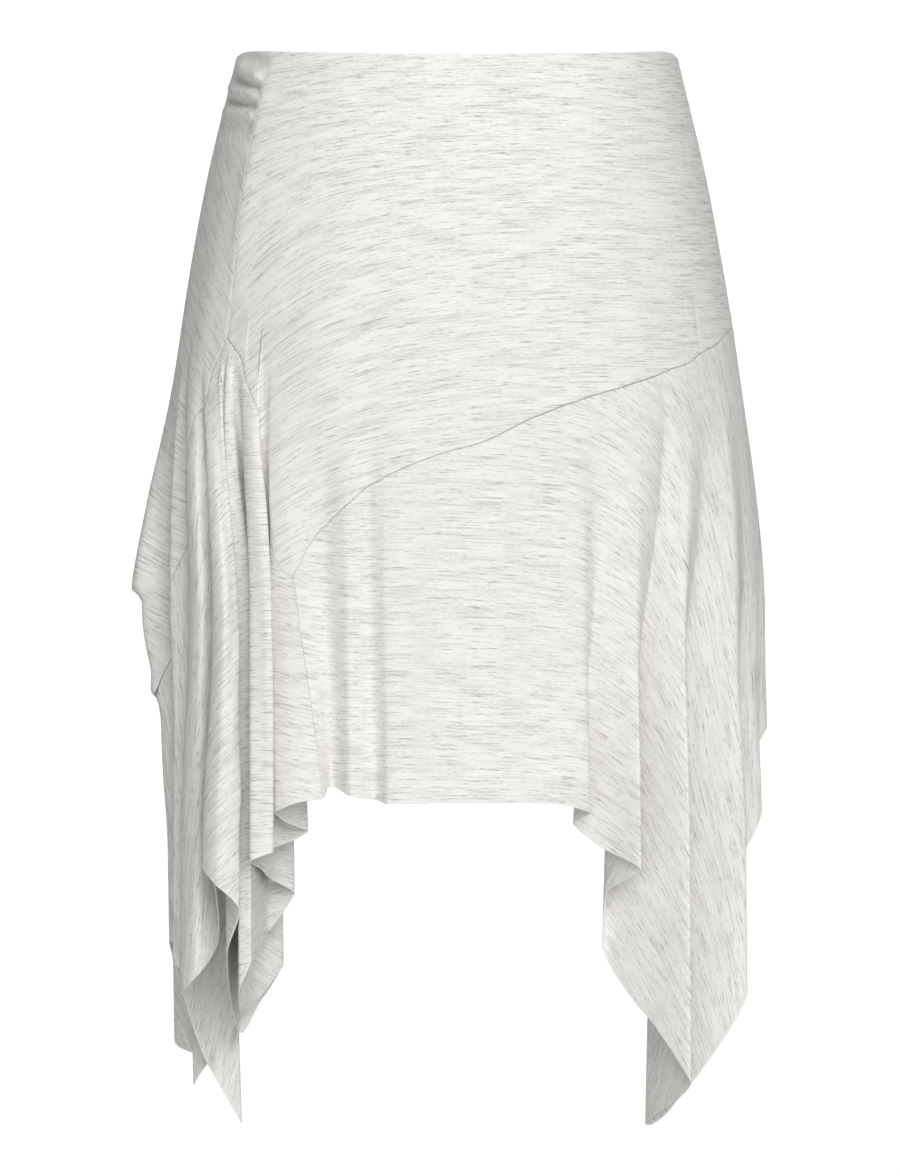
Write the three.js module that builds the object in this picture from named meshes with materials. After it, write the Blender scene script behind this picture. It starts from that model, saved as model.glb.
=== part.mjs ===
// An asymmetric handkerchief-hem skirt in soft jersey, hollow and hanging as it is worn.
// Millimetres, +Z up. The origin is the centre of the waist opening, the front faces -Y.
// The cloth is one tube of fold lines, cut by its seams into five sewn panels.
import * as THREE from "three";

// Driving sizes of the garment.
const WAIST_HALF_WIDTH = 149;
const WAIST_HALF_DEPTH = 101;
const HIP_HALF_WIDTH = 189;
const HIP_HALF_DEPTH = 120;
const FLARE_HALF_WIDTH = 213;
const HIP_DROP = 197;
const MID_DROP = 388;
const LOW_DROP = 544;
const WALL = 2;
const SEAM_GAP = 0.3;

// Shape of the body under the cloth: 2 is an ellipse, more is squarer.
const BODY_SQUARENESS = 2.2;
// The waist dips a little at the front, and its corners at the sides are rounded off.
const FRONT_DIP = 4;
const SIDE_DIP = 5;
const SIDE_DIP_POWER = 50;
// How much of its slope a fold keeps below the low ring, where the cloth hangs straight.
const HANG = 0.15;
// Tightness of a fold's turn: 1 is a round wave, less is a sharper edge.
const TURN_ROUNDNESS = 0.85;
const TURN_REACH = 1.6;
// Below the yoke the left outline draws in: how much of what lies past the line, and where.
const DRAW_IN_SHARE = 0.35;
const DRAW_IN_LINE = -190;
const DRAW_IN_HEIGHT = -452;
const DRAW_IN_REACH = 42;

// Half width of the cloth between waist and hip, as a share of the way down.
const SIDE_CURVE = 0.78;

// One row for each fold line, from the front centre to the left side, the back and the right side.
// angle: place on the waist and hip, degrees from the front centre towards the left side.
// xMid, yMid, xLow, yLow: where the fold line is on the middle and the low ring.
// seam, hem: how far below the waist the yoke ends and the cloth ends there.
const FOLD_COLUMNS = ["fold", "angle", "xMid", "yMid", "xLow", "yLow", "seam", "hem"];
const FOLD_ROWS = [
  ["front centre", -3, 9, -118, 14, -121, 269, 511],
  ["panel left", 12.5, -49, -117, -47, -119, 291, 512],
  ["panel groove", 15, -58, -110, -55, -106, 296, 509],
  ["narrow flute", 20, -73, -115, -71, -117, 309, 507],
  ["flute groove", 25, -88, -104, -85, -98, 324, 500],
  ["drape edge", 37, -107, -108, -89, -113, 357, 508],
  ["drape face", 38, -117, -104, -106, -117, 350, 511],
  ["first turn left", 39, -124.5, -96, -122.6, -107, 326, 518],
  ["first back layer", 39.7, -119, -88, -113, -91, 311, 526],
  ["first turn right", 40.4, -115, -83, -101, -80, 297, 531],
  ["second layer", 41.1, -120, -78, -113, -76, 281, 538],
  ["second turn left", 41.8, -128, -84, -127, -84, 264, 543],
  ["strip right", 42.6, -127.5, -108, -125.5, -121, 247, 545],
  ["strip left", 47, -139, -104, -139, -121, 223, 550],
  ["strip back", 48, -134, -82, -133, -88, 214, 556],
  ["third layer", 49, -126, -66, -124, -60, 209, 565],
  ["third turn right", 50, -118, -60, -111, -48, 206, 574],
  ["long drape", 51, -130, -56, -127, -40, 204, 598],
  ["long drape side", 51.7, -140.5, -84, -140.5, -97, 202, 622],
  ["long drape left", 52.4, -148.6, -83, -147, -94.5, 200, 636],
  ["inner drape side", 52.8, -147, -58, -146, -58, 199, 655],
  ["inner drape", 53.2, -137, -44, -136, -30, 198, 646],
  ["inner turn right", 53.6, -126, -38, -119, -19, 197.5, 623],
  ["side seam", 54, -134.5, -31, -133, -10, 197, 646],
  ["inner turn left", 54.4, -146.5, -35, -147.5, -14, 198, 669],
  ["inner flank", 54.8, -156.6, -74, -155.6, -84, 199, 612],
  ["left face right", 55.2, -150.5, -92, -148, -106, 202, 582],
  ["left face", 59, -157, -101, -161, -111, 219, 569],
  ["left face left", 61, -165, -92, -172, -98, 238, 557],
  ["left face back", 62, -164, -80, -165.4, -77, 241, 563],
  ["side turn right", 63, -162.4, -70, -161.6, -58, 244, 605],
  ["side ridge", 66, -173, -78, -176, -72, 249, 629],
  ["side groove", 70, -182, -62, -187, -56, 272, 642],
  ["side tuck", 72, -174, -48, -179, -42, 320, 635],
  ["flank", 77, -195, -36, -193, -34, 364, 620],
  ["flank tuck", 79, -187, -20, -186, -20, 401, 615],
  ["left outline", 90, -215, -4, -197, -6, 439, 609],
  ["corner drape", 97, -199, 9, -175, 5, 445, 688],
  ["corner tip", 100, -185, 14, -153, 10, 450, 731],
  ["corner back", 102, -194, 21, -168, 18, 452, 687],
  ["thin tip", 104, -203, 26, -183, 24, 454, 705],
  ["thin tip tuck", 107, -198, 36, -178, 34, 456, 687],
  ["back left outline", 112, -211, 44, -195, 46, 456, 677],
  ["back left groove", 119, -190, 66, -170, 66, 450, 640],
  ["back left ridge", 126, -183, 92, -168, 98, 436, 612],
  ["back left inner", 135, -146, 98, -134, 92, 412, 560],
  ["back left flute", 144, -124, 122, -116, 130, 386, 521],
  ["back left dip", 154, -88, 114, -82, 106, 356, 500],
  ["back flute", 164, -58, 128, -54, 136, 328, 490],
  ["back dip", 174, -20, 118, -18, 110, 302, 486],
  ["back centre", 184, 14, 129, 18, 136, 278, 484],
  ["back right dip", 195, 52, 116, 56, 106, 254, 482],
  ["back right flute", 206, 88, 124, 94, 132, 232, 480],
  ["back right inner", 218, 122, 100, 126, 90, 214, 478],
  ["back right ridge", 231, 160, 96, 168, 100, 200, 474],
  ["back right groove", 247, 186, 54, 184, 52, 190, 468],
  ["right outline", 265, 210, 24, 213, 30, 186, 462],
  ["right tuck", 275, 200, 8, 191, 12, 188, 493],
  ["right flank", 280, 204, -10, 208, -8, 191, 519],
  ["right flank tuck", 287, 193, -24, 180, -22, 195, 578],
  ["right drape edge", 292, 189, -52, 196, -60, 200, 643],
  ["right drape back", 296, 170, -56, 151, -50, 203, 716],
  ["right tip", 300, 156, -60, 133, -43, 206, 731],
  ["right ridge", 307, 154, -80, 157, -94, 214, 699],
  ["right drape face", 312, 140, -77, 128, -80, 217, 654],
  ["right turn lower", 315, 126, -72, 101, -66, 220, 612],
  ["right turn left", 317, 126, -82, 102, -80, 222, 573],
  ["right flute edge", 322, 122, -99, 124, -109, 226, 556],
  ["right flute", 328, 106, -98, 104, -98, 231, 545],
  ["right turn upper", 333, 92, -96, 78, -93, 235, 526],
  ["panel right", 338, 87, -109, 90, -113, 240, 518],
  ["panel face", 346, 68, -114, 68, -120, 249, 512],
];
const FOLDS = FOLD_ROWS.map((row) =>
  Object.fromEntries(FOLD_COLUMNS.map((name, k) => [name, row[k]])),
);
const FOLD_COUNT = FOLDS.length;
const foldNumber = (name) => FOLDS.findIndex((row) => row.fold === name);

// Where the panels meet: fold lines that the upright seams follow.
const LEFT_SIDE_SEAM = foldNumber("side seam");
const RIGHT_SIDE_SEAM = foldNumber("right outline") - 0.3;
const DRAPE_SEAM = foldNumber("drape edge");
const BACK_LEFT_SEAM = foldNumber("back left groove");

const wrap = (k) => ((k % FOLD_COUNT) + FOLD_COUNT) % FOLD_COUNT;

// A point of the body's outline at an angle, for given half sizes.
function bodyPoint(angle, halfWidth, halfDepth) {
  const a = THREE.MathUtils.degToRad(angle);
  const bulge = (v) => Math.sign(v) * Math.abs(v) ** (2 / BODY_SQUARENESS);
  return [-halfWidth * bulge(Math.sin(a)), -halfDepth * bulge(Math.cos(a))];
}

// The rings of the body, from the waist down: height and half sizes. Below the hip it flares out.
const BETWEEN = 0.5 ** SIDE_CURVE;
const BODY_RINGS = [
  [0, WAIST_HALF_WIDTH, WAIST_HALF_DEPTH],
  [
    -HIP_DROP / 2,
    THREE.MathUtils.lerp(WAIST_HALF_WIDTH, HIP_HALF_WIDTH, BETWEEN),
    THREE.MathUtils.lerp(WAIST_HALF_DEPTH, HIP_HALF_DEPTH, BETWEEN),
  ],
  [-HIP_DROP, HIP_HALF_WIDTH, HIP_HALF_DEPTH],
  [-MID_DROP, FLARE_HALF_WIDTH, HIP_HALF_DEPTH],
  [-LOW_DROP, FLARE_HALF_WIDTH, HIP_HALF_DEPTH],
];
const bodyLine = (angle) =>
  BODY_RINGS.map(([z, width, depth]) => ({ z, at: bodyPoint(angle, width, depth) }));

// How far a fold moves the cloth from the body at each ring: it starts at the hip, and on the middle
// and the low ring it reaches its own places.
function moveLine(row) {
  const onBody = bodyLine(row.angle);
  const still = onBody.slice(0, 3).map(({ z }) => ({ z, at: [0, 0] }));
  const [, , , mid, low] = onBody;
  return [
    ...still,
    { z: mid.z, at: [row.xMid - mid.at[0], row.yMid - mid.at[1]] },
    { z: low.z, at: [row.xLow - low.at[0], row.yLow - low.at[1]] },
  ];
}
const MOVE_LINES = FOLDS.map(moveLine);
const BODY_LINES = FOLDS.map((row) => bodyLine(row.angle));

// Slope of a smooth line at ring k that never overshoots its neighbours.
function slopeAt(line, k, axis) {
  const rise = (a, b) => (line[b].at[axis] - line[a].at[axis]) / (line[b].z - line[a].z);
  if (k === 0) return rise(0, 1);
  const last = line.length - 1;
  if (k === last) return rise(last - 1, last) * HANG;
  const above = rise(k - 1, k);
  const below = rise(k, k + 1);
  return above * below > 0 ? (2 * above * below) / (above + below) : 0;
}

// Where a line of rings is at height z.
function lineAt(line, z) {
  const last = line.length - 1;
  let n = 0;
  while (n < last - 1 && z < line[n + 1].z) n += 1;
  return [0, 1].map((axis) => {
    if (z < line[last].z) {
      return line[last].at[axis] + slopeAt(line, last, axis) * (z - line[last].z);
    }
    const span = line[n + 1].z - line[n].z;
    const t = (z - line[n].z) / span;
    const s = t * t * (3 - 2 * t);
    const bend = t * (1 - t);
    return (
      line[n].at[axis] * (1 - s) +
      line[n + 1].at[axis] * s +
      span * bend * ((1 - t) * slopeAt(line, n, axis) - t * slopeAt(line, n + 1, axis))
    );
  });
}
const moveAt = (k, z) => new THREE.Vector2(...lineAt(MOVE_LINES[wrap(k)], z));
const bodyAt = (k, z) => new THREE.Vector2(...lineAt(BODY_LINES[wrap(k)], z));

// A smooth curve through four values with uneven gaps, between the second and the third.
// A turn reaches no further into a long stretch than TURN_REACH times the short one beside it.
function smooth([p0, p1, p2, p3], [g0, g1, g2], t, roundness) {
  const slope = (a, b, c, before, after) =>
    ((after * (b - a)) / before + (before * (c - b)) / after) / (before + after);
  const m1 = slope(p0, p1, p2, g0, g1) * Math.min(g1, TURN_REACH * g0) * roundness;
  const m2 = slope(p1, p2, p3, g1, g2) * Math.min(g1, TURN_REACH * g2) * roundness;
  const t2 = t * t;
  const t3 = t2 * t;
  return (
    (2 * t3 - 3 * t2 + 1) * p1 + (t3 - 2 * t2 + t) * m1 + (3 * t2 - 2 * t3) * p2 + (t3 - t2) * m2
  );
}

// A named size of the fold table, smoothed between the fold lines.
function sizeAt(u, name) {
  const k = Math.floor(u);
  const values = [-1, 0, 1, 2].map((n) => FOLDS[wrap(k + n)][name]);
  return smooth(values, [1, 1, 1], u - k, 0.6);
}

// The middle of the cloth at fold u and height z: the body's ring, moved out or in by the folds.
function clothPoint(u, z) {
  const k = Math.floor(u);
  const near = [-1, 0, 1, 2];
  const angles = near.map(
    (n) => FOLDS[wrap(k + n)].angle + 360 * Math.floor((k + n) / FOLD_COUNT),
  );
  const moves = near.map((n) => moveAt(k + n, z));
  const folds = near.map((n, i) => bodyAt(k + n, z).add(moves[i]));
  const gaps = [0, 1, 2].map((n) => Math.max(1, folds[n].distanceTo(folds[n + 1])));
  const along = (values) => smooth(values, gaps, u - k, TURN_ROUNDNESS);
  const [bodyX, bodyY] = lineAt(bodyLine(along(angles)), z);
  const x = bodyX + along(moves.map((move) => move.x));
  const y = bodyY + along(moves.map((move) => move.y));
  const drawIn = DRAW_IN_SHARE * Math.exp(-(((z - DRAW_IN_HEIGHT) / DRAW_IN_REACH) ** 2));
  const past = Math.max(0, DRAW_IN_LINE - x);
  return new THREE.Vector3(x + past * drawIn, y, z);
}

// The outward direction of the cloth.
function clothNormal(u, z) {
  const step = 0.02;
  const along = clothPoint(u + step, z).sub(clothPoint(u - step, z));
  const up = clothPoint(u, z + 1).sub(clothPoint(u, z - 1));
  return up.cross(along).normalize();
}

// Height of the waist's edge, lower at the front centre and right at the sides.
function waistHeight(u) {
  const place = clothPoint(u, 0);
  const front = Math.max(0, -place.y / WAIST_HALF_DEPTH) ** 2;
  const side = Math.abs(place.x / WAIST_HALF_WIDTH) ** SIDE_DIP_POWER;
  return -FRONT_DIP * front - SIDE_DIP * side;
}
const seamHeight = (u) => -sizeAt(u, "seam");
const hemHeight = (u) => -sizeAt(u, "hem");

// Half of the seam's gap measured straight down, so that a slanting seam stays as open as a level one.
function gapDown(u) {
  const step = 0.05;
  const z = seamHeight(u);
  const run = clothPoint(u + step, z).distanceTo(clothPoint(u - step, z));
  const rise = seamHeight(u + step) - seamHeight(u - step);
  return (SEAM_GAP / 2) * Math.hypot(1, rise / run);
}

// Fold numbers from one seam to the next, with extra steps at each fold's turn.
function foldSteps(from, to, perFold) {
  const steps = [];
  for (let k = Math.floor(from); k < to; k += 1) {
    for (let n = 0; n < perFold; n += 1) {
      const u = k + n / perFold;
      if (u > from + 0.1 && u < to - 0.1) steps.push(u);
    }
  }
  return [from, ...steps, to];
}

// A closed wall of cloth between two upright seams, from a top line to a bottom line.
function clothWall({ from, to, top, bottom, perFold, rows }) {
  const steps = foldSteps(from, to, perFold);
  const positions = [];
  const faces = [];
  const columns = steps.length;
  const insetAt = (u, z) => {
    const pace = clothPoint(u + 0.05, z).distanceTo(clothPoint(u - 0.05, z)) / 0.1;
    return SEAM_GAP / 2 / pace;
  };
  for (const side of [1, -1]) {
    for (let r = 0; r <= rows; r += 1) {
      steps.forEach((step, c) => {
        const z = THREE.MathUtils.lerp(top(step), bottom(step), r / rows);
        let u = step;
        if (c === 0) u += insetAt(step, z);
        if (c === columns - 1) u -= insetAt(step, z);
        const point = clothPoint(u, z).addScaledVector(clothNormal(u, z), (side * WALL) / 2);
        positions.push(point.x, point.y, point.z);
      });
    }
  }
  const inner = (rows + 1) * columns;
  const at = (r, c, layer) => layer * inner + r * columns + c;
  const quad = (a, b, c, d) => faces.push(a, b, c, a, c, d);
  for (let r = 0; r < rows; r += 1) {
    for (let c = 0; c < columns - 1; c += 1) {
      quad(at(r, c, 0), at(r, c + 1, 0), at(r + 1, c + 1, 0), at(r + 1, c, 0));
      quad(at(r, c, 1), at(r + 1, c, 1), at(r + 1, c + 1, 1), at(r, c + 1, 1));
    }
    quad(at(r, 0, 0), at(r + 1, 0, 0), at(r + 1, 0, 1), at(r, 0, 1));
    const end = columns - 1;
    quad(at(r, end, 0), at(r, end, 1), at(r + 1, end, 1), at(r + 1, end, 0));
  }
  for (let c = 0; c < columns - 1; c += 1) {
    quad(at(0, c, 0), at(0, c, 1), at(0, c + 1, 1), at(0, c + 1, 0));
    quad(at(rows, c, 0), at(rows, c + 1, 0), at(rows, c + 1, 1), at(rows, c, 1));
  }
  const geometry = new THREE.BufferGeometry();
  geometry.setAttribute("position", new THREE.Float32BufferAttribute(positions, 3));
  geometry.setIndex(faces);
  geometry.computeVertexNormals();
  return geometry;
}

const jersey = new THREE.MeshStandardMaterial({
  name: "heather jersey",
  color: new THREE.Color(0.86, 0.86, 0.84),
  roughness: 0.9,
  metalness: 0,
});

const skirt = new THREE.Group();
skirt.name = "skirt";

function addPanel(name, sizes) {
  const mesh = new THREE.Mesh(clothWall(sizes), jersey);
  mesh.name = name;
  skirt.add(mesh);
}

const yokeBottom = (u) => seamHeight(u) + gapDown(u);
const flounceTop = (u) => seamHeight(u) - gapDown(u);

function addYoke(name, from, to) {
  addPanel(name, { from, to, top: waistHeight, bottom: yokeBottom, perFold: 3, rows: 7 });
}

function addFlounce(name, from, to, rows) {
  addPanel(name, { from, to, top: flounceTop, bottom: hemHeight, perFold: 3, rows });
}

addYoke("front_yoke", RIGHT_SIDE_SEAM - FOLD_COUNT, LEFT_SIDE_SEAM);
addYoke("back_yoke", LEFT_SIDE_SEAM, RIGHT_SIDE_SEAM);
addFlounce("front_flounce", RIGHT_SIDE_SEAM - FOLD_COUNT, DRAPE_SEAM, 8);
addFlounce("left_flounce", DRAPE_SEAM, BACK_LEFT_SEAM, 9);
addFlounce("back_flounce", BACK_LEFT_SEAM, RIGHT_SIDE_SEAM, 6);

export default skirt;
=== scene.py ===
"""Asymmetric handkerchief-hem skirt in heather jersey: cloth, seams, studio light and camera.

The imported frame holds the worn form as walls 2 mm thick. This script lays a thin jersey shell
on each wall, with the finer folds, gathers, seams and raw edges, and dresses it in a knit
material. Sizes of the garment are in millimetres, as on its pattern, and MM turns them to metres.
"""

import logging
import math
from dataclasses import dataclass, field
from enum import Enum
from typing import Sequence, Union

import bpy
import numpy as np
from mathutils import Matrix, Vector


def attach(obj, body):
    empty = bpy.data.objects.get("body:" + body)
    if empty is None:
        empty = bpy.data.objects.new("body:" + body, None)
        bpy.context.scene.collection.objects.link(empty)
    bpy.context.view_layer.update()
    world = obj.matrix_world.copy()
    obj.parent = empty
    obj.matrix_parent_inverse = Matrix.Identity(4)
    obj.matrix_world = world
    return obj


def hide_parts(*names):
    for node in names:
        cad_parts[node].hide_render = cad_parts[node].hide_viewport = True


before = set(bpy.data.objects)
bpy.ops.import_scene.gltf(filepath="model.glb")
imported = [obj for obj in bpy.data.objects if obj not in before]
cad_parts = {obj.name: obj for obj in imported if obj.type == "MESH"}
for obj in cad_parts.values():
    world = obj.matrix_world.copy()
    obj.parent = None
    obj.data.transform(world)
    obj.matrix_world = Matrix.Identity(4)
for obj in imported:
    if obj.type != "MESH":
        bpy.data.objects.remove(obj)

LOG = logging.getLogger("skirt")
MM = 0.001
BODY = "root"
GRAIN_MAP = "grain"
TURNED_MAP = "turned_grain"
TURN_SHARE = "turn_share"
# Mask of the painted highlight along the hem edges.
HEM_HIGHLIGHT_MASK = "hem_highlight"
# Mask of the painted shadow along the seams' grooves.
SEAM_SHADOW_MASK = "seam_shadow_line"


class Cut(Enum):
    """Which part of the skirt a panel is cut for."""

    YOKE = "yoke"
    FLOUNCE = "flounce"


@dataclass(frozen=True)
class FoldLine:
    """One fold line of the cloth, from the waist down to the hem, in millimetres.

    The angle is its place on the waist and hip, in degrees from the front centre towards the
    left side. The middle and low places are where it passes those rings. Grain is how far the
    knit's streaks turn clockwise from level at this fold, below the seam, in degrees.
    """

    name: str
    angle: float
    x_mid: float
    y_mid: float
    x_low: float
    y_low: float
    seam: float
    hem: float
    grain: float


FOLD_LINES = (
    FoldLine("front centre", -3, 9, -118, 14, -121, 269, 511, 2),
    FoldLine("panel left", 12.5, -49, -117, -47, -119, 291, 512, 0),
    FoldLine("panel groove", 15, -58, -110, -55, -106, 296, 509, 0),
    FoldLine("narrow flute", 20, -73, -115, -71, -117, 309, 507, 2),
    FoldLine("flute groove", 25, -88, -104, -85, -98, 324, 500, 6),
    FoldLine("drape edge", 37, -107, -108, -89, -113, 357, 508, 12),
    FoldLine("drape face", 38, -117, -104, -106, -117, 350, 511, 14),
    FoldLine("first turn left", 39, -124.5, -96, -122.6, -107, 326, 518, 12),
    FoldLine("first back layer", 39.7, -119, -88, -113, -91, 311, 526, 10),
    FoldLine("first turn right", 40.4, -115, -83, -101, -80, 297, 531, 8),
    FoldLine("second layer", 41.1, -120, -78, -113, -76, 281, 538, 6),
    FoldLine("second turn left", 41.8, -128, -84, -127, -84, 264, 543, 4),
    FoldLine("strip right", 42.6, -127.5, -108, -125.5, -121, 247, 545, 2),
    FoldLine("strip left", 47, -139, -104, -139, -121, 223, 550, -2),
    FoldLine("strip back", 48, -134, -82, -133, -88, 214, 556, -6),
    FoldLine("third layer", 49, -126, -66, -124, -60, 209, 565, -10),
    FoldLine("third turn right", 50, -118, -60, -111, -48, 206, 574, -12),
    FoldLine("long drape", 51, -130, -56, -127, -40, 204, 598, -14),
    FoldLine("long drape side", 51.7, -140.5, -84, -140.5, -97, 202, 622, -16),
    FoldLine("long drape left", 52.4, -148.6, -83, -147, -94.5, 200, 636, -18),
    FoldLine("inner drape side", 52.8, -147, -58, -146, -58, 199, 655, -24),
    FoldLine("inner drape", 53.2, -137, -44, -136, -30, 198, 646, -28),
    FoldLine("inner turn right", 53.6, -126, -38, -119, -19, 197.5, 623, -32),
    FoldLine("side seam", 54, -134.5, -31, -133, -10, 197, 646, -34),
    FoldLine("inner turn left", 54.4, -146.5, -35, -147.5, -14, 198, 669, -36),
    FoldLine("inner flank", 54.8, -156.6, -74, -155.6, -84, 199, 612, -38),
    FoldLine("left face right", 55.2, -150.5, -92, -148, -106, 202, 582, -38),
    FoldLine("left face", 59, -157, -101, -161, -111, 219, 569, -42),
    FoldLine("left face left", 61, -165, -92, -172, -98, 238, 557, -50),
    FoldLine("left face back", 62, -164, -80, -165.4, -77, 241, 563, -60),
    FoldLine("side turn right", 63, -162.4, -70, -161.6, -58, 244, 605, -70),
    FoldLine("side ridge", 66, -173, -78, -176, -72, 249, 629, -82),
    FoldLine("side groove", 70, -182, -62, -187, -56, 272, 642, -90),
    FoldLine("side tuck", 72, -174, -48, -179, -42, 320, 635, -92),
    FoldLine("flank", 77, -195, -36, -193, -34, 364, 620, -96),
    FoldLine("flank tuck", 79, -187, -20, -186, -20, 401, 615, -98),
    FoldLine("left outline", 90, -215, -4, -197, -6, 439, 609, -102),
    FoldLine("corner drape", 97, -199, 9, -175, 5, 445, 688, -104),
    FoldLine("corner tip", 100, -185, 14, -153, 10, 450, 731, -106),
    FoldLine("corner back", 102, -194, 21, -168, 18, 452, 687, -110),
    FoldLine("thin tip", 104, -203, 26, -183, 24, 454, 705, -112),
    FoldLine("thin tip tuck", 107, -198, 36, -178, 34, 456, 687, -116),
    FoldLine("back left outline", 112, -211, 44, -195, 46, 456, 677, -120),
    FoldLine("back left groove", 119, -190, 66, -170, 66, 450, 640, -130),
    FoldLine("back left ridge", 126, -183, 92, -168, 98, 436, 612, -138),
    FoldLine("back left inner", 135, -146, 98, -134, 92, 412, 560, -150),
    FoldLine("back left flute", 144, -124, 122, -116, 130, 386, 521, -158),
    FoldLine("back left dip", 154, -88, 114, -82, 106, 356, 500, -168),
    FoldLine("back flute", 164, -58, 128, -54, 136, 328, 490, -174),
    FoldLine("back dip", 174, -20, 118, -18, 110, 302, 486, -178),
    FoldLine("back centre", 184, 14, 129, 18, 136, 278, 484, -182),
    FoldLine("back right dip", 195, 52, 116, 56, 106, 254, 482, -188),
    FoldLine("back right flute", 206, 88, 124, 94, 132, 232, 480, -194),
    FoldLine("back right inner", 218, 122, 100, 126, 90, 214, 478, -204),
    FoldLine("back right ridge", 231, 160, 96, 168, 100, 200, 474, -214),
    FoldLine("back right groove", 247, 186, 54, 184, 52, 190, 468, -228),
    FoldLine("right outline", 265, 210, 24, 213, 30, 186, 462, 92),
    FoldLine("right tuck", 275, 200, 8, 191, 12, 188, 493, 90),
    FoldLine("right flank", 280, 204, -10, 208, -8, 191, 519, 88),
    FoldLine("right flank tuck", 287, 193, -24, 180, -22, 195, 578, 84),
    FoldLine("right drape edge", 292, 189, -52, 196, -60, 200, 643, 78),
    FoldLine("right drape back", 296, 170, -56, 151, -50, 203, 716, 70),
    FoldLine("right tip", 300, 156, -60, 133, -43, 206, 731, 66),
    FoldLine("right ridge", 307, 154, -80, 157, -94, 214, 699, 62),
    FoldLine("right drape face", 312, 140, -77, 128, -80, 217, 654, 56),
    FoldLine("right turn lower", 315, 126, -72, 101, -66, 220, 612, 50),
    FoldLine("right turn left", 317, 126, -82, 102, -80, 222, 573, 46),
    FoldLine("right flute edge", 322, 122, -99, 124, -109, 226, 556, 40),
    FoldLine("right flute", 328, 106, -98, 104, -98, 231, 545, 32),
    FoldLine("right turn upper", 333, 92, -96, 78, -93, 235, 526, 24),
    FoldLine("panel right", 338, 87, -109, 90, -113, 240, 518, 16),
    FoldLine("panel face", 346, 68, -114, 68, -120, 249, 512, 6),
)
FOLD_COUNT = len(FOLD_LINES)


def fold_number(name: str) -> int:
    """Return the place of a named fold line in the table."""
    return [line.name for line in FOLD_LINES].index(name)


@dataclass(frozen=True)
class WornBody:
    """Half sizes of the round form that fills the skirt, in millimetres."""

    waist_half_width: float = 149
    waist_half_depth: float = 101
    hip_half_width: float = 189
    hip_half_depth: float = 120
    flare_half_width: float = 213
    hip_drop: float = 197
    mid_drop: float = 388
    low_drop: float = 544
    squareness: float = 2.2
    side_curve: float = 0.78

    def heights(self) -> np.ndarray:
        """Return the heights of the form's rings, from the waist down."""
        return -np.array([0, self.hip_drop / 2, self.hip_drop, self.mid_drop, self.low_drop])

    def ring_sizes(self) -> np.ndarray:
        """Work out how wide and deep the form is at each ring.

        Returns:
            The half width and half depth of each ring, from the waist down.
        """
        waist = np.array([self.waist_half_width, self.waist_half_depth], float)
        hip = np.array([self.hip_half_width, self.hip_half_depth], float)
        between = waist + (hip - waist) * 0.5**self.side_curve
        flare = np.array([self.flare_half_width, self.hip_half_depth], float)
        return np.stack([waist, between, hip, flare, flare])

    def outline(self, angle: np.ndarray) -> np.ndarray:
        """Work out the form's outline for half sizes of 1.

        Args:
            angle: Angles in degrees, from the front centre towards the left side.

        Returns:
            Places on the outline, with their two values on a last axis.
        """
        turned = np.radians(angle)

        def bulge(value: np.ndarray) -> np.ndarray:
            """Push a sine or cosine outwards, which makes the outline squarer."""
            return np.sign(value) * np.abs(value) ** (2 / self.squareness)

        return np.stack([-bulge(np.sin(turned)), -bulge(np.cos(turned))], axis=-1)


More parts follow.
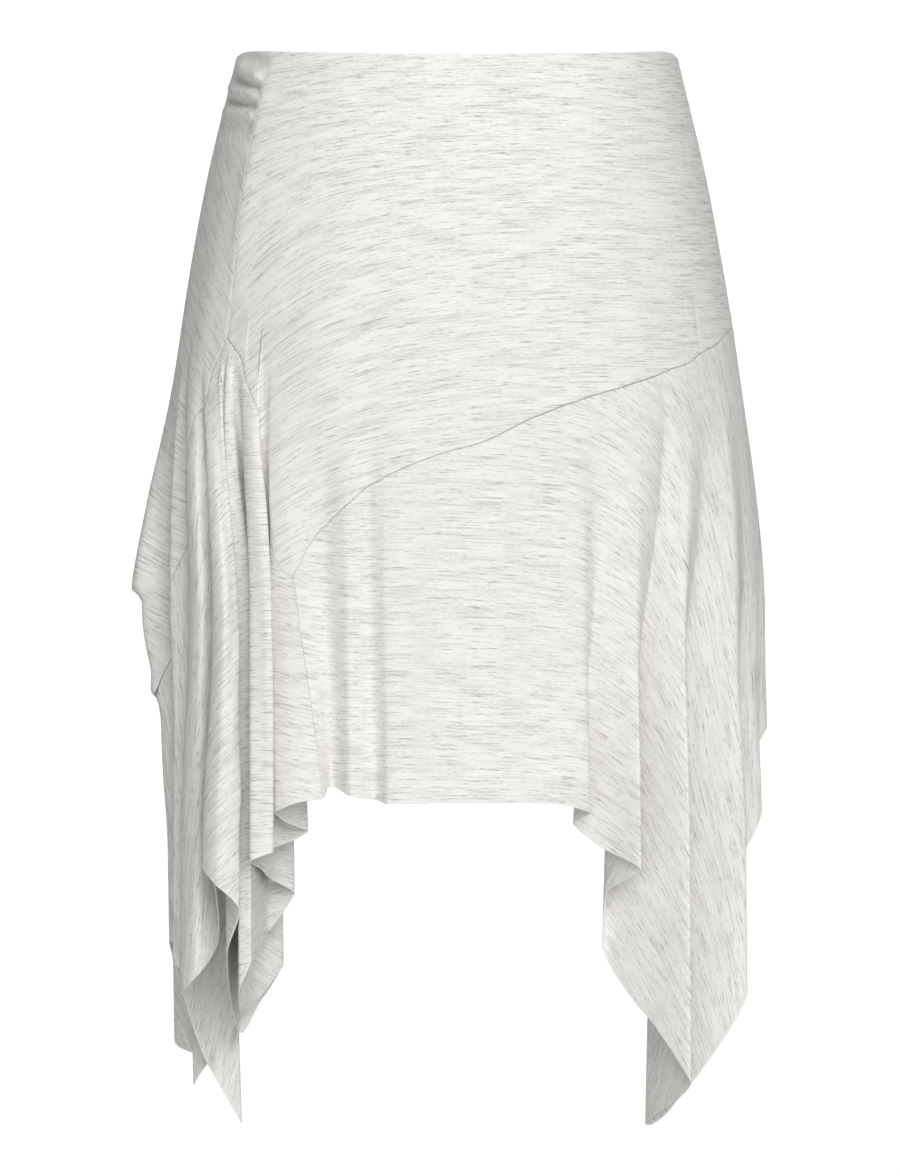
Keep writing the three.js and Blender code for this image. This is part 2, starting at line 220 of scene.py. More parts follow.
@dataclass
class DrapeForm:
    """The middle of the cloth, as one tube of fold lines, the same as the frame's walls.

    A place on it is a fold number, which may lie between two folds, and a height in millimetres.
    """

    body: WornBody = field(default_factory=WornBody)
    hang: float = 0.15
    turn_roundness: float = 0.85
    turn_reach: float = 1.6
    front_dip: float = 4
    side_dip: float = 5
    side_dip_power: float = 50
    draw_in_share: float = 0.35
    draw_in_line: float = -190
    draw_in_height: float = -452
    draw_in_reach: float = 42

    def __post_init__(self) -> None:
        """Lay out the rings of the body at every fold line, and how far each fold moves off them."""
        self.heights = self.body.heights()
        self.angles = np.array([line.angle for line in FOLD_LINES], float)
        self.size_rings = self.body.ring_sizes()[None]
        self.body_rings = self.body.outline(self.angles)[:, None, :] * self.size_rings
        middle = np.array([(line.x_mid, line.y_mid) for line in FOLD_LINES])
        low = np.array([(line.x_low, line.y_low) for line in FOLD_LINES])
        self.move_rings = np.zeros_like(self.body_rings)
        self.move_rings[:, 3] = middle - self.body_rings[:, 3]
        self.move_rings[:, 4] = low - self.body_rings[:, 4]

    def slopes(self, rings: np.ndarray) -> np.ndarray:
        """Work out slopes at each ring that never overshoot its neighbours.

        Args:
            rings: Places of each line at the rings, as lines by rings by two.

        Returns:
            Slopes down the lines, as lines by rings by two.
        """
        rise = np.diff(rings, axis=1) / np.diff(self.heights)[None, :, None]
        above = rise[:, :-1]
        below = rise[:, 1:]
        same_way = above * below > 0
        total = np.where(same_way, above + below, 1)
        between = np.where(same_way, 2 * above * below / total, 0)
        return np.concatenate([rise[:, :1], between, rise[:, -1:] * self.hang], axis=1)

    def line_at(self, rings: np.ndarray, z: np.ndarray) -> np.ndarray:
        """Follow lines of rings down to some heights.

        Args:
            rings: Places of each line at the rings, as lines by rings by two.
            z: Heights in millimetres.

        Returns:
            Places, as lines by heights by two.
        """
        slopes = self.slopes(rings)
        last = len(self.heights) - 1
        n = np.clip(np.searchsorted(-self.heights, -z, side="right") - 1, 0, last - 1)
        span = self.heights[n + 1] - self.heights[n]
        t = (z - self.heights[n]) / span
        s = (t * t * (3 - 2 * t))[None, :, None]
        bend = (span * t * (1 - t))[None, :, None]
        lean = (1 - t)[None, :, None] * slopes[:, n] - t[None, :, None] * slopes[:, n + 1]
        inside = rings[:, n] * (1 - s) + rings[:, n + 1] * s + bend * lean
        below = rings[:, [last]] + slopes[:, [last]] * (z - self.heights[last])[None, :, None]
        return np.where((z < self.heights[last])[None, :, None], below, inside)

    def smooth(self, values: np.ndarray, gaps: np.ndarray, t: float, roundness: float) -> np.ndarray:
        """Join four values with uneven gaps by a smooth curve, between the second and third.

        Args:
            values: Four values, each a number for every height.
            gaps: The three gaps between them.
            t: How far along the middle gap, from 0 to 1.
            roundness: How wide the curve turns at each value.

        Returns:
            The curve's value for every height.
        """

        def slope(
            a: np.ndarray, b: np.ndarray, c: np.ndarray, before: np.ndarray, after: np.ndarray
        ) -> np.ndarray:
            """Return the slope at the middle one of three values, from the gaps beside it."""
            return (after * (b - a) / before + before * (c - b) / after) / (before + after)

        p0, p1, p2, p3 = values
        g0, g1, g2 = gaps
        m1 = slope(p0, p1, p2, g0, g1) * np.minimum(g1, self.turn_reach * g0) * roundness
        m2 = slope(p1, p2, p3, g1, g2) * np.minimum(g1, self.turn_reach * g2) * roundness
        t2 = t * t
        t3 = t2 * t
        ends = (2 * t3 - 3 * t2 + 1) * p1 + (3 * t2 - 2 * t3) * p2
        return ends + (t3 - 2 * t2 + t) * m1 + (t3 - t2) * m2

    def column(self, u: float, z: np.ndarray) -> np.ndarray:
        """Return the cloth's points down one column.

        Args:
            u: The fold number of the column.
            z: Heights in millimetres.

        Returns:
            Points in millimetres, as heights by three.
        """
        k = math.floor(u)
        near = np.arange(k - 1, k + 3)
        rows = near % FOLD_COUNT
        turns = 360 * (near // FOLD_COUNT)
        moves = self.line_at(self.move_rings[rows], z)
        folds = self.line_at(self.body_rings[rows], z) + moves
        gaps = np.maximum(1, np.linalg.norm(np.diff(folds, axis=0), axis=2))
        angles = np.broadcast_to((self.angles[rows] + turns)[:, None], (4, len(z)))
        angle = self.smooth(angles, gaps, u - k, self.turn_roundness)
        size = self.line_at(self.size_rings, z)[0]
        place = self.body.outline(angle) * size
        place[:, 0] += self.smooth(moves[:, :, 0], gaps, u - k, self.turn_roundness)
        place[:, 1] += self.smooth(moves[:, :, 1], gaps, u - k, self.turn_roundness)
        near_height = (z - self.draw_in_height) / self.draw_in_reach
        draw_in = self.draw_in_share * np.exp(-(near_height**2))
        place[:, 0] += np.maximum(0, self.draw_in_line - place[:, 0]) * draw_in
        return np.column_stack([place, z])

    def table_size(self, u: float, name: str) -> float:
        """Look up a size in the fold table, smoothed between the fold lines.

        Args:
            u: The fold number.
            name: The size's name in the table.

        Returns:
            The size there.
        """
        k = math.floor(u)
        values = np.array([getattr(FOLD_LINES[(k + n) % FOLD_COUNT], name) for n in (-1, 0, 1, 2)])
        return float(self.smooth(values, np.ones(3), u - k, 0.6))

    def waist_height(self, u: float) -> float:
        """Work out the height of the waist's edge, which dips at the front and at the sides.

        Args:
            u: The fold number.

        Returns:
            The height in millimetres.
        """
        x, y, _ = self.column(u, np.zeros(1))[0]
        front = max(0.0, -y / self.body.waist_half_depth) ** 2
        side = abs(x / self.body.waist_half_width) ** self.side_dip_power
        return -self.front_dip * front - self.side_dip * side

    def seam_height(self, u: float) -> float:
        """Return the height where the yoke is sewn to the flounce."""
        return -self.table_size(u, "seam")

    def hem_height(self, u: float) -> float:
        """Return the height of the hem."""
        return -self.table_size(u, "hem")


@dataclass(frozen=True)
class Pucker:
    """One small fold of the gathers, across the panel from the upright seam, in millimetres.

    It starts at a height on the seam, rises towards its far end, and stands out by its height.
    """

    name: str
    seam_z: float
    rise: float
    length: float
    width: float
    height: float


PUCKERS = (
    Pucker("waist groove", -10, 6, 46, 3.4, -2.0),
    Pucker("upper ridge", -20, 13, 62, 4.4, 5.2),
    Pucker("upper groove", -28, 13, 70, 3.4, -4.6),
    Pucker("middle ridge", -33, 11, 76, 3.8, 3.6),
    Pucker("lower groove", -40, 8, 80, 3.4, -5.0),
    Pucker("lower ridge", -45, 6, 76, 4.4, 3.4),
    Pucker("last groove", -56, 4, 60, 5.0, -2.2),
    Pucker("last ridge", -66, 3, 50, 7.0, 1.2),
)


@dataclass(frozen=True)
class SoftCrease:
    """A soft ridge or trough that runs down the cloth, in millimetres.

    Its line leans from the upper fold number to the lower one. A ridge has a height above 0 and
    a trough one below.
    """

    name: str
    upper_fold: float
    lower_fold: float
    z_top: float
    z_end: float
    width: float
    height: float


@dataclass(frozen=True)
class SideFlap:
    """A fold of cloth that sticks out at the left side and ends abruptly, in millimetres."""

    name: str
    fold: float
    z_start: float
    z_full: float
    z_end: float
    width: float
    height: float


SIDE_FLAPS = (
    SideFlap("wing", 36.0, -225, -366, -374, 13, 7.5),
    SideFlap("seam end", 36.2, -418, -434, -445, 8, 4.5),
)


@dataclass
class Shell:
    """A grid of cloth points with what is known at each of them, in millimetres.

    The run is how far round a point is from the first column at its own height, and the rest is
    how far it still is to the last.
    """

    points: np.ndarray
    normals: np.ndarray
    folds: np.ndarray
    run: np.ndarray
    rest: np.ndarray
    seam_gap: np.ndarray
    hem_gap: np.ndarray
    grain: np.ndarray


@dataclass(frozen=True)
class YokeKnit:
    """How the level streaks of the yokes sweep up towards the upright seam, in millimetres.

    On the front they rise from the seam's place across, more from one depth below the waist to
    another, and tilt a little beyond it. On the back they lean with their distance from it.
    """

    seam_x: float = -150
    rise: float = 26
    more_rise: float = 50
    more_from: float = 20
    more_to: float = 200
    rise_reach: float = 70.0
    tilt: float = 0.02
    back_rise: float = 132
    back_reach: float = 110
    back_narrowing: float = 0.8
    back_slant: float = 0.5


@dataclass
class Panel:
    """One sewn piece of the skirt, laid on the frame's wall of the same place.

    Attributes:
        node: The frame's node that it replaces.
        cut: Whether it is a yoke or a flounce.
        from_fold: Fold number of its first upright edge.
        to_fold: Fold number of its last upright edge.
        flat_width: Width of the cut piece, in millimetres. Not used.
        flat_length: Length of the cut piece, in millimetres. Not used.
        flat_area: Area of the cut piece, in square metres. Not used.
        rows: How many rows of faces it has between its edge rows.
        thickness: How thick the cloth is, in millimetres.
        spacing: The widest gap between columns, in millimetres.
        column_limits: The fewest and the most columns from one fold line to the next.
        least_step: The smallest step between columns, in fold numbers.
        probe_heights: Heights at which the way from fold to fold is measured.
        probe_points: How many points that way is measured through.
        probe_step: The step from an upright edge that shows its pace, in fold numbers.
        level_count: At how many heights the way round the panel is measured.
        edge_steps: Distances of the edge rows and columns from the edge, in millimetres.
        seam_gap: Half the gap that a seam leaves, in millimetres.
        turn_limits: Where, between two folds, one map of the knit gives way to the other.
        knit: How the streaks run where the panel is a yoke.
    """

    node: str
    cut: Cut
    from_fold: float
    to_fold: float
    flat_width: float
    flat_length: float
    flat_area: float
    rows: int
    thickness: float = 0.9
    spacing: float = 2.6
    column_limits: Sequence[int] = (6, 30)
    least_step: float = 0.004
    probe_heights: Sequence[float] = (-100.0, -250.0, -388.0, -544.0)
    probe_points: int = 9
    probe_step: float = 0.02
    level_count: int = 36
    edge_steps: Sequence[float] = (0.0, 0.35, 0.8, 1.4, 2.2, 3.3)
    seam_gap: float = 0.1
    turn_limits: Sequence[float] = (0.3, 0.7)
    knit: YokeKnit = field(default_factory=YokeKnit)

    def fold_steps(self, form: DrapeForm) -> np.ndarray:
        """Choose the panel's columns, closer together where the cloth turns.

        Args:
            form: The form that the panel lies on.

        Returns:
            The fold number of each column, from the first upright edge to the last.
        """
        steps = [self.from_fold, self.to_fold]
        heights = np.array(self.probe_heights)
        shares = np.linspace(0, 0.999, self.probe_points)
        for k in range(math.floor(self.from_fold), math.ceil(self.to_fold)):
            line = np.stack([form.column(k + t, heights) for t in shares])
            length = np.linalg.norm(np.diff(line, axis=0), axis=2).sum(axis=0).max()
            count = int(np.clip(math.ceil(length / self.spacing), *self.column_limits))
            steps += [k + n / count for n in range(count)]
        for edge, way in ((self.from_fold, 1), (self.to_fold, -1)):
            beside = form.column(edge + way * self.probe_step, heights[:3])
            ends = form.column(edge, heights[:3]) - beside
            pace = np.linalg.norm(ends, axis=1).mean() / self.probe_step
            steps += [edge + way * step / pace for step in self.edge_steps]
        ordered = sorted(u for u in steps if self.from_fold <= u <= self.to_fold)
        kept = [ordered[0]]
        for u in ordered[1:]:
            if u - kept[-1] > self.least_step:
                kept.append(u)
        kept[-1] = self.to_fold
        return np.array(kept)

    def heights(self, form: DrapeForm, u: float) -> np.ndarray:
        """Choose the heights of one column's points, closer together at its two ends.

        Args:
            form: The form that the panel lies on.
            u: The column's fold number.

        Returns:
            Heights in millimetres, from the top down.
        """
        if self.cut is Cut.YOKE:
            top = form.waist_height(u)
            bottom = form.seam_height(u) + self.seam_gap
        else:
            top = form.seam_height(u) - self.seam_gap
            bottom = form.hem_height(u)
        steps = np.array(self.edge_steps)
        middle = np.linspace(top - steps[-1], bottom + steps[-1], self.rows + 1)
        return np.concatenate([top - steps[:-1], middle, (bottom + steps[:-1])[::-1]])

    def shell(self, form: DrapeForm) -> Shell:
        """Lay the panel out as a grid of points on the form.

        Args:
            form: The form that the panel lies on.

        Returns:
            The grid, with what is known at each point.
        """
        folds = self.fold_steps(form)
        points = np.stack([form.column(u, self.heights(form, u)) for u in folds])
        normals = outward(points)
        down = np.linalg.norm(np.diff(points, axis=1), axis=2)
        from_top = np.concatenate([np.zeros((len(folds), 1)), np.cumsum(down, axis=1)], axis=1)
        to_bottom = from_top[:, -1:] - from_top
        along = np.linalg.norm(np.diff(points, axis=0), axis=2)
        from_first = np.concatenate([np.zeros((1, points.shape[1])), np.cumsum(along, axis=0)])
        to_last = from_first[-1:] - from_first
        upright = np.minimum(from_first, to_last)
        if self.cut is Cut.YOKE:
            seam_gap = np.minimum(upright, across_edge(points[:, -1], to_bottom))
            hem_gap = across_edge(points[:, 0], from_top)
        else:
            seam_gap = np.minimum(upright, across_edge(points[:, 0], from_top))
            hem_gap = across_edge(points[:, -1], to_bottom)
        levels, runs = self.level_runs(form, folds, points)
        z = points[:, :, 2]
        run = np.stack([np.interp(-z[n], -levels, runs[n]) for n in range(len(folds))])
        rest = np.interp(-z, -levels, runs[-1]) - run
        grain = self.grain(form, folds, points, levels, runs)
        return Shell(points, normals, folds, run, rest, seam_gap, hem_gap, grain)

    def level_runs(
        self, form: DrapeForm, folds: np.ndarray, points: np.ndarray
    ) -> tuple[np.ndarray, np.ndarray]:
        """Measure how far round each column is from the first one at several heights.

        Args:
            form: The form that the panel lies on.
            folds: The fold number of each column.
            points: The panel's points, as columns by rows by three.

        Returns:
            The heights, and the distances as columns by heights.
        """
        levels = np.linspace(points[:, :, 2].max(), points[:, :, 2].min(), self.level_count)
        lines = np.stack([form.column(u, levels) for u in folds])
        steps = np.linalg.norm(np.diff(lines, axis=0)[:, :, :2], axis=2)
        runs = np.concatenate([np.zeros((1, len(levels))), np.cumsum(steps, axis=0)])
        return levels, runs

    def grain(
        self,
        form: DrapeForm,
        folds: np.ndarray,
        points: np.ndarray,
        levels: np.ndarray,
        runs: np.ndarray,
    ) -> np.ndarray:
        """Return each point's place on the knit, with its streaks along the first axis.

        A yoke is cut level, and its streaks climb towards the upright seam. A flounce is cut in
        a curve, so its streaks turn from fold to fold. Two maps take turns, one for the even
        folds and one for the odd ones, and the third value says how much the odd one counts.

        Args:
            form: The form that the panel lies on.
            folds: The fold number of each column.
            points: The panel's points, as columns by rows by three.
            levels: Heights at which the columns' distances are known.
            runs: Those distances from the first column, as columns by heights.

        Returns:
            Two maps of two values and the share, as columns by rows by five.
        """
        z = points[:, :, 2]
        if self.cut is Cut.YOKE:
            return self.yoke_grain(points, runs[:, len(levels) // 3])
        maps = []
        for parity in (0, 1):
            near = 2 * np.round((folds - parity) / 2) + parity
            angle = np.radians([form.table_size(u, "grain") for u in near])[:, None]
            held = np.clip(near, folds[0], folds[-1])
            start = np.stack([np.interp(held, folds, runs[:, n]) for n in range(len(levels))])
            gone = runs - start.T
            across = np.stack([np.interp(-z[n], -levels, gone[n]) for n in range(len(folds))])
            across = -(across + np.interp(held, folds, runs[:, len(levels) // 2])[:, None])
            drop = -z
            maps.append(across * np.cos(angle) + drop * np.sin(angle))
            maps.append(drop * np.cos(angle) - across * np.sin(angle))
        turn = np.abs((folds % 2) - 1)
        share = 1 - fade(turn, *self.turn_limits)
        maps.append(np.repeat(share[:, None], z.shape[1], axis=1))
        return np.stack(maps, axis=-1)

    def yoke_grain(self, points: np.ndarray, widths: np.ndarray) -> np.ndarray:
        """Return the knit's places on a yoke, whose streaks bend in one sweep.

        Args:
            points: The yoke's points, as columns by rows by three.
            widths: How far across the cut piece each column is.

        Returns:
            The same map twice and a share of 0, as columns by rows by five.
        """
        knit = self.knit
        across = np.repeat(widths[:, None], points.shape[1], axis=1)
        z = points[:, :, 2]
        if self.node == "front_yoke":
            reach = points[:, :, 0] - knit.seam_x
            rise = knit.rise + knit.more_rise * fade(-z, knit.more_from, knit.more_to)
            sweep = z + rise * np.exp(-reach / knit.rise_reach) + knit.tilt * reach
            place = [-across, -sweep]
        else:
            lean = knit.back_rise * (1 - np.exp(-across / knit.back_reach))
            place = [-across * knit.back_narrowing - z * knit.back_slant, lean - z]
        return np.stack([*place, *place, 0 * z], axis=-1)


def outward(points: np.ndarray) -> np.ndarray:
    """Work out which way is outward on a grid of points whose columns go round clockwise.

    Args:
        points: The grid, as columns by rows by three.

    Returns:
        Directions of length 1, as columns by rows by three.
    """
    along = np.gradient(points, axis=0)
    up = -np.gradient(points, axis=1)
    normal = np.cross(up, along)
    return normal / np.maximum(np.linalg.norm(normal, axis=2, keepdims=True), 1e-9)


def across_edge(edge: np.ndarray, down: np.ndarray) -> np.ndarray:
    """Turn distances down each column into distances square to a slanting edge.

    Args:
        edge: The edge's points, one for each column.
        down: Distances from the edge down the columns, as columns by rows.

    Returns:
        The distances square to the edge, as columns by rows.
    """
    run = np.gradient(edge, axis=0)
    level = np.linalg.norm(run[:, :2], axis=1)
    cosine = level / np.maximum(np.linalg.norm(run, axis=1), 1e-9)
    return down * np.clip(cosine, 0.2, 1)[:, None]


def fade(value: np.ndarray, start: float, end: float) -> np.ndarray:
    """Rise smoothly from 0 at the start to 1 at the end."""
    t = np.clip((value - start) / (end - start), 0, 1)
    return t * t * (3 - 2 * t)


CREASES = {
    "front_yoke": (
        SoftCrease("stitched crease", 62.2, 62.2, -158, -212, 2.2, -0.55),
        SoftCrease("hip drag upper", 67.6, 66.4, -120, -215, 16, 1.0),
        SoftCrease("hip drag lower", 70.4, 69.2, -150, -250, 18, -0.9),
        SoftCrease("belly hollow", 73.4, 74.2, -130, -290, 22, -1.1),
        SoftCrease("left drag", 76.4, 75.6, -90, -300, 16, 1.0),
        SoftCrease("left hollow", 80.2, 78.4, -70, -260, 14, -0.9),
        SoftCrease("seam side ridge", 92.2, 88.0, -60, -230, 9, 0.9),
    ),
    "back_yoke": (
        SoftCrease("side drag", 29.6, 31.0, -70, -260, 12, 0.9),
        SoftCrease("wing hollow", 33.0, 34.0, -130, -360, 10, -0.8),
        SoftCrease("back left drag", 43.5, 42.0, -60, -330, 18, 1.0),
        SoftCrease("back hollow", 48.0, 47.4, -90, -300, 22, -1.0),
        SoftCrease("back right drag", 53.0, 53.8, -80, -240, 18, 0.9),
    ),
    "front_flounce": (
        SoftCrease("middle hollow", 72.4, 72.6, -300, -470, 15, -0.7),
        SoftCrease("middle rise", 71.2, 71.6, -290, -500, 13, 0.6),
        SoftCrease("drape drag", 76.2, 76.7, -360, -480, 6, 0.5),
    ),
    "left_flounce": (
        SoftCrease("first turn swell", 7.0, 7.0, -190, -600, 2.4, 1.6),
        SoftCrease("strip swell", 12.1, 12.1, -120, -620, 2.4, 1.8),
        SoftCrease("drape swell", 19.1, 19.1, -60, -660, 2.6, 1.8),
        SoftCrease("left face swell", 25.5, 25.5, -60, -640, 2.6, 2.2),
        SoftCrease("flank drag", 34.3, 34.8, -390, -560, 5, 0.6),
        SoftCrease("outline drag", 36.2, 37.0, -470, -600, 6, 0.5),
    ),
    "back_flounce": (
        SoftCrease("back left drag low", 45.6, 46.0, -430, -560, 9, 0.7),
        SoftCrease("back middle drag", 50.3, 50.0, -310, -470, 12, 0.7),
        SoftCrease("back right drag low", 53.6, 53.9, -240, -450, 12, 0.7),
    ),
}


@dataclass(frozen=True)
class Wave:
    """A slow wave over worn cloth, with how far it goes across and down for each radian."""

    across: float
    down: float
    start: float = 0.0

    def at(self, run: np.ndarray, z: np.ndarray) -> np.ndarray:
        """Return the wave's height, from -1 to 1."""
        return np.sin(run / self.across + z / self.down + self.start)


@dataclass(frozen=True)
class Relief:
    """How the cloth's small folds stand out from the form, in millimetres.

    A seam sinks in by its dip, with a soft ridge beside it and tacks along it. It is calmer near
    the front's middle, and lit beside the first turn, where it stands up. A crown is the corner
    that the upright seam makes. Fades are the distances or shares between which a shape grows.
    """

    seam_dip: float = 0.6
    seam_reach: float = 0.5
    calm_x: float = -14.0
    calm_reach: float = 40.0
    calm_share: float = 0.75
    lit_height: float = 0.5
    lit_reach: float = 1.1
    lit_low: Sequence[float] = (318, 338)
    lit_left: Sequence[float] = (-134, -128)
    lit_right: Sequence[float] = (-88, -76)
    seam_ridge: float = 0.2
    seam_ridge_at: float = 5.0
    seam_ridge_width: float = 3.2
    tack_spacing: float = 11.0
    tack_height: float = 0.08
    tack_reach: float = 3.5
    tack_slant: float = 0.6
    clear_fade: Sequence[float] = (1, 14)
    wave_height: float = 0.35
    broad_wave: Wave = Wave(31, 47)
    narrow_wave: Wave = Wave(17, -71, 1.3)
    narrow_share: float = 0.7
    ripple: Wave = Wave(11.3, 29, 0.6)
    ripple_swell: Wave = Wave(-60, 37)
    ripple_share: float = 0.45
    crease_fade: float = 0.35
    pucker_start: Sequence[float] = (0.5, 9)
    pucker_end: float = 0.45
    flap_power: float = 1.5
    crown_height: float = 5.0
    crown_front: float = 42.0
    crown_side: float = 15.0
    crown_end: float = -185.0
    crown_start: Sequence[float] = (-20, 40)
    crown_full: float = 0.55

    def at(self, panel: Panel, shell: Shell) -> np.ndarray:
        """Return how far each point of a panel stands out.

        Args:
            panel: The panel that the points belong to.
            shell: The panel's points on the form.

        Returns:
            Heights above the form, in millimetres, one for each point.
        """
        run = shell.run
        z = shell.points[:, :, 2]
        clear = fade(shell.seam_gap, *self.clear_fade)
        raised = self.waves(run, z) * clear
        for crease in CREASES[panel.node]:
            raised += self.crease(crease, shell, run, z) * clear
        if panel.node in ("back_yoke", "left_flounce"):
            for flap in SIDE_FLAPS:
                raised += self.flap(flap, shell, run, z)
        if panel.node == "back_yoke":
            for pucker in PUCKERS:
                raised += self.pucker(pucker, run, z)
            raised += self.crown(run / self.crown_side, z)
        if panel.node == "front_yoke":
            raised += self.crown(shell.rest / self.crown_front, z)
        return raised + self.seam(shell, run, z)

    def crown(self, share: np.ndarray, z: np.ndarray) -> np.ndarray:
        """Work out the corner that the upright seam makes between the front and the side.

        Args:
            share: Distances from the seam, in lengths over which the corner falls away.
            z: Heights of the points.

        Returns:
            How far the corner stands out at each point.
        """
        low = fade(-z, -self.crown_end * self.crown_full, -self.crown_end)
        ends = fade(-z, *self.crown_start) * (1 - low)
        return self.crown_height * ends * np.exp(-share)

    def waves(self, run: np.ndarray, z: np.ndarray) -> np.ndarray:
        """Work out the slight unevenness of worn cloth.

        Args:
            run: How far round each point is.
            z: Heights of the points.

        Returns:
            How far the waves stand out at each point.
        """
        drift = self.broad_wave.at(run, z) + self.narrow_share * self.narrow_wave.at(run, z)
        ripple = self.ripple_share * self.ripple.at(run, z) * self.ripple_swell.at(run, z)
        return self.wave_height * (drift + ripple) / 2

    def seam(self, shell: Shell, run: np.ndarray, z: np.ndarray) -> np.ndarray:
        """Work out the groove of a seam, the soft ridge beside it and its small tacks.

        Args:
            shell: The panel's points on the form.
            run: How far round each point is.
            z: Heights of the points.

        Returns:
            How far the seam's shapes stand out at each point.
        """
        gap = shell.seam_gap
        groove = -self.seam_dip * np.exp(-((gap / self.seam_reach) ** 2)) * self.calm(shell)
        groove += self.lit_height * np.exp(-((gap / self.lit_reach) ** 2)) * self.lit(shell)
        beside = (gap - self.seam_ridge_at) / self.seam_ridge_width
        ridge = self.seam_ridge * np.exp(-(beside**2))
        along = run + self.tack_slant * z
        beat = np.sin(along * 2 * math.pi / self.tack_spacing)
        beat += 0.6 * np.sin(along * 2 * math.pi / (self.tack_spacing * 1.7) + 1.1)
        near = (gap - self.tack_reach) / self.tack_reach
        tack = self.tack_height * beat * np.exp(-(near**2))
        return groove + ridge + tack

    def calm(self, shell: Shell) -> np.ndarray:
        """Work out how much of a seam's groove and of its painted shadow is left where the front
        seam lies smooth.

        Args:
            shell: The panel's points on the form.

        Returns:
            The share that is left at each point, up to 1.
        """
        across = (shell.points[:, :, 0] - self.calm_x) / self.calm_reach
        front = shell.points[:, :, 1] < 0
        return (1 - self.calm_share * front * np.exp(-(across**4))) * (1 - self.lit(shell))

    def lit(self, shell: Shell) -> np.ndarray:
        """Work out where the seam beside the first turn stands up instead of sinking in.

        Args:
            shell: The panel's points on the form.

        Returns:
            A share of 0 to 1 at each point.
        """
        x = shell.points[:, :, 0]
        low = fade(-shell.points[:, :, 2], *self.lit_low)
        front = shell.points[:, :, 1] < 0
        return low * front * fade(x, *self.lit_left) * (1 - fade(x, *self.lit_right))

    def crease(self, crease: SoftCrease, shell: Shell, run: np.ndarray, z: np.ndarray) -> np.ndarray:
        """Work out the height of one soft ridge or trough.

        Args:
            crease: The ridge or trough.
            shell: The panel's points on the form.
            run: How far round each point is.
            z: Heights of the points.

        Returns:
            How far it stands out at each point.
        """
        depth = (crease.z_top - z) / (crease.z_top - crease.z_end)
        lean = crease.upper_fold + (crease.lower_fold - crease.upper_fold) * depth
        middle = np.empty_like(run)
        for row in range(run.shape[1]):
            middle[:, row] = np.interp(lean[:, row], shell.folds, run[:, row])
        ends = fade(depth, 0, self.crease_fade) * fade(1 - depth, 0, self.crease_fade)
        return crease.height * ends * np.exp(-(((run - middle) / crease.width) ** 2))

    def flap(self, flap: SideFlap, shell: Shell, run: np.ndarray, z: np.ndarray) -> np.ndarray:
        """Work out the height of one side flap, which grows downwards and ends at once.

        Args:
            flap: The flap.
            shell: The panel's points on the form.
            run: How far round each point is.
            z: Heights of the points.

        Returns:
            How far it stands out at each point.
        """
        middle = np.array([np.interp(flap.fold, shell.folds, line) for line in run.T])
        down = np.clip((flap.z_start - z) / (flap.z_start - flap.z_full), 0, 1)
        rise = down**self.flap_power
        rise *= 1 - fade(flap.z_full - z, 0, flap.z_full - flap.z_end)
        return flap.height * rise * np.exp(-(((run - middle[None]) / flap.width) ** 2))

    def pucker(self, pucker: Pucker, run: np.ndarray, z: np.ndarray) -> np.ndarray:
        """Work out the height of one small fold of the gathers.

        Args:
            pucker: The small fold.
            run: How far each point is from the upright seam.
            z: Heights of the points.

        Returns:
            How far it stands out at each point.
        """
        share = np.clip(run / pucker.length, 0, 1)
        middle = pucker.seam_z + pucker.rise * share
        ends = fade(run, *self.pucker_start) * (1 - fade(share, self.pucker_end, 1))
        return pucker.height * ends * np.exp(-(((z - middle) / pucker.width) ** 2))


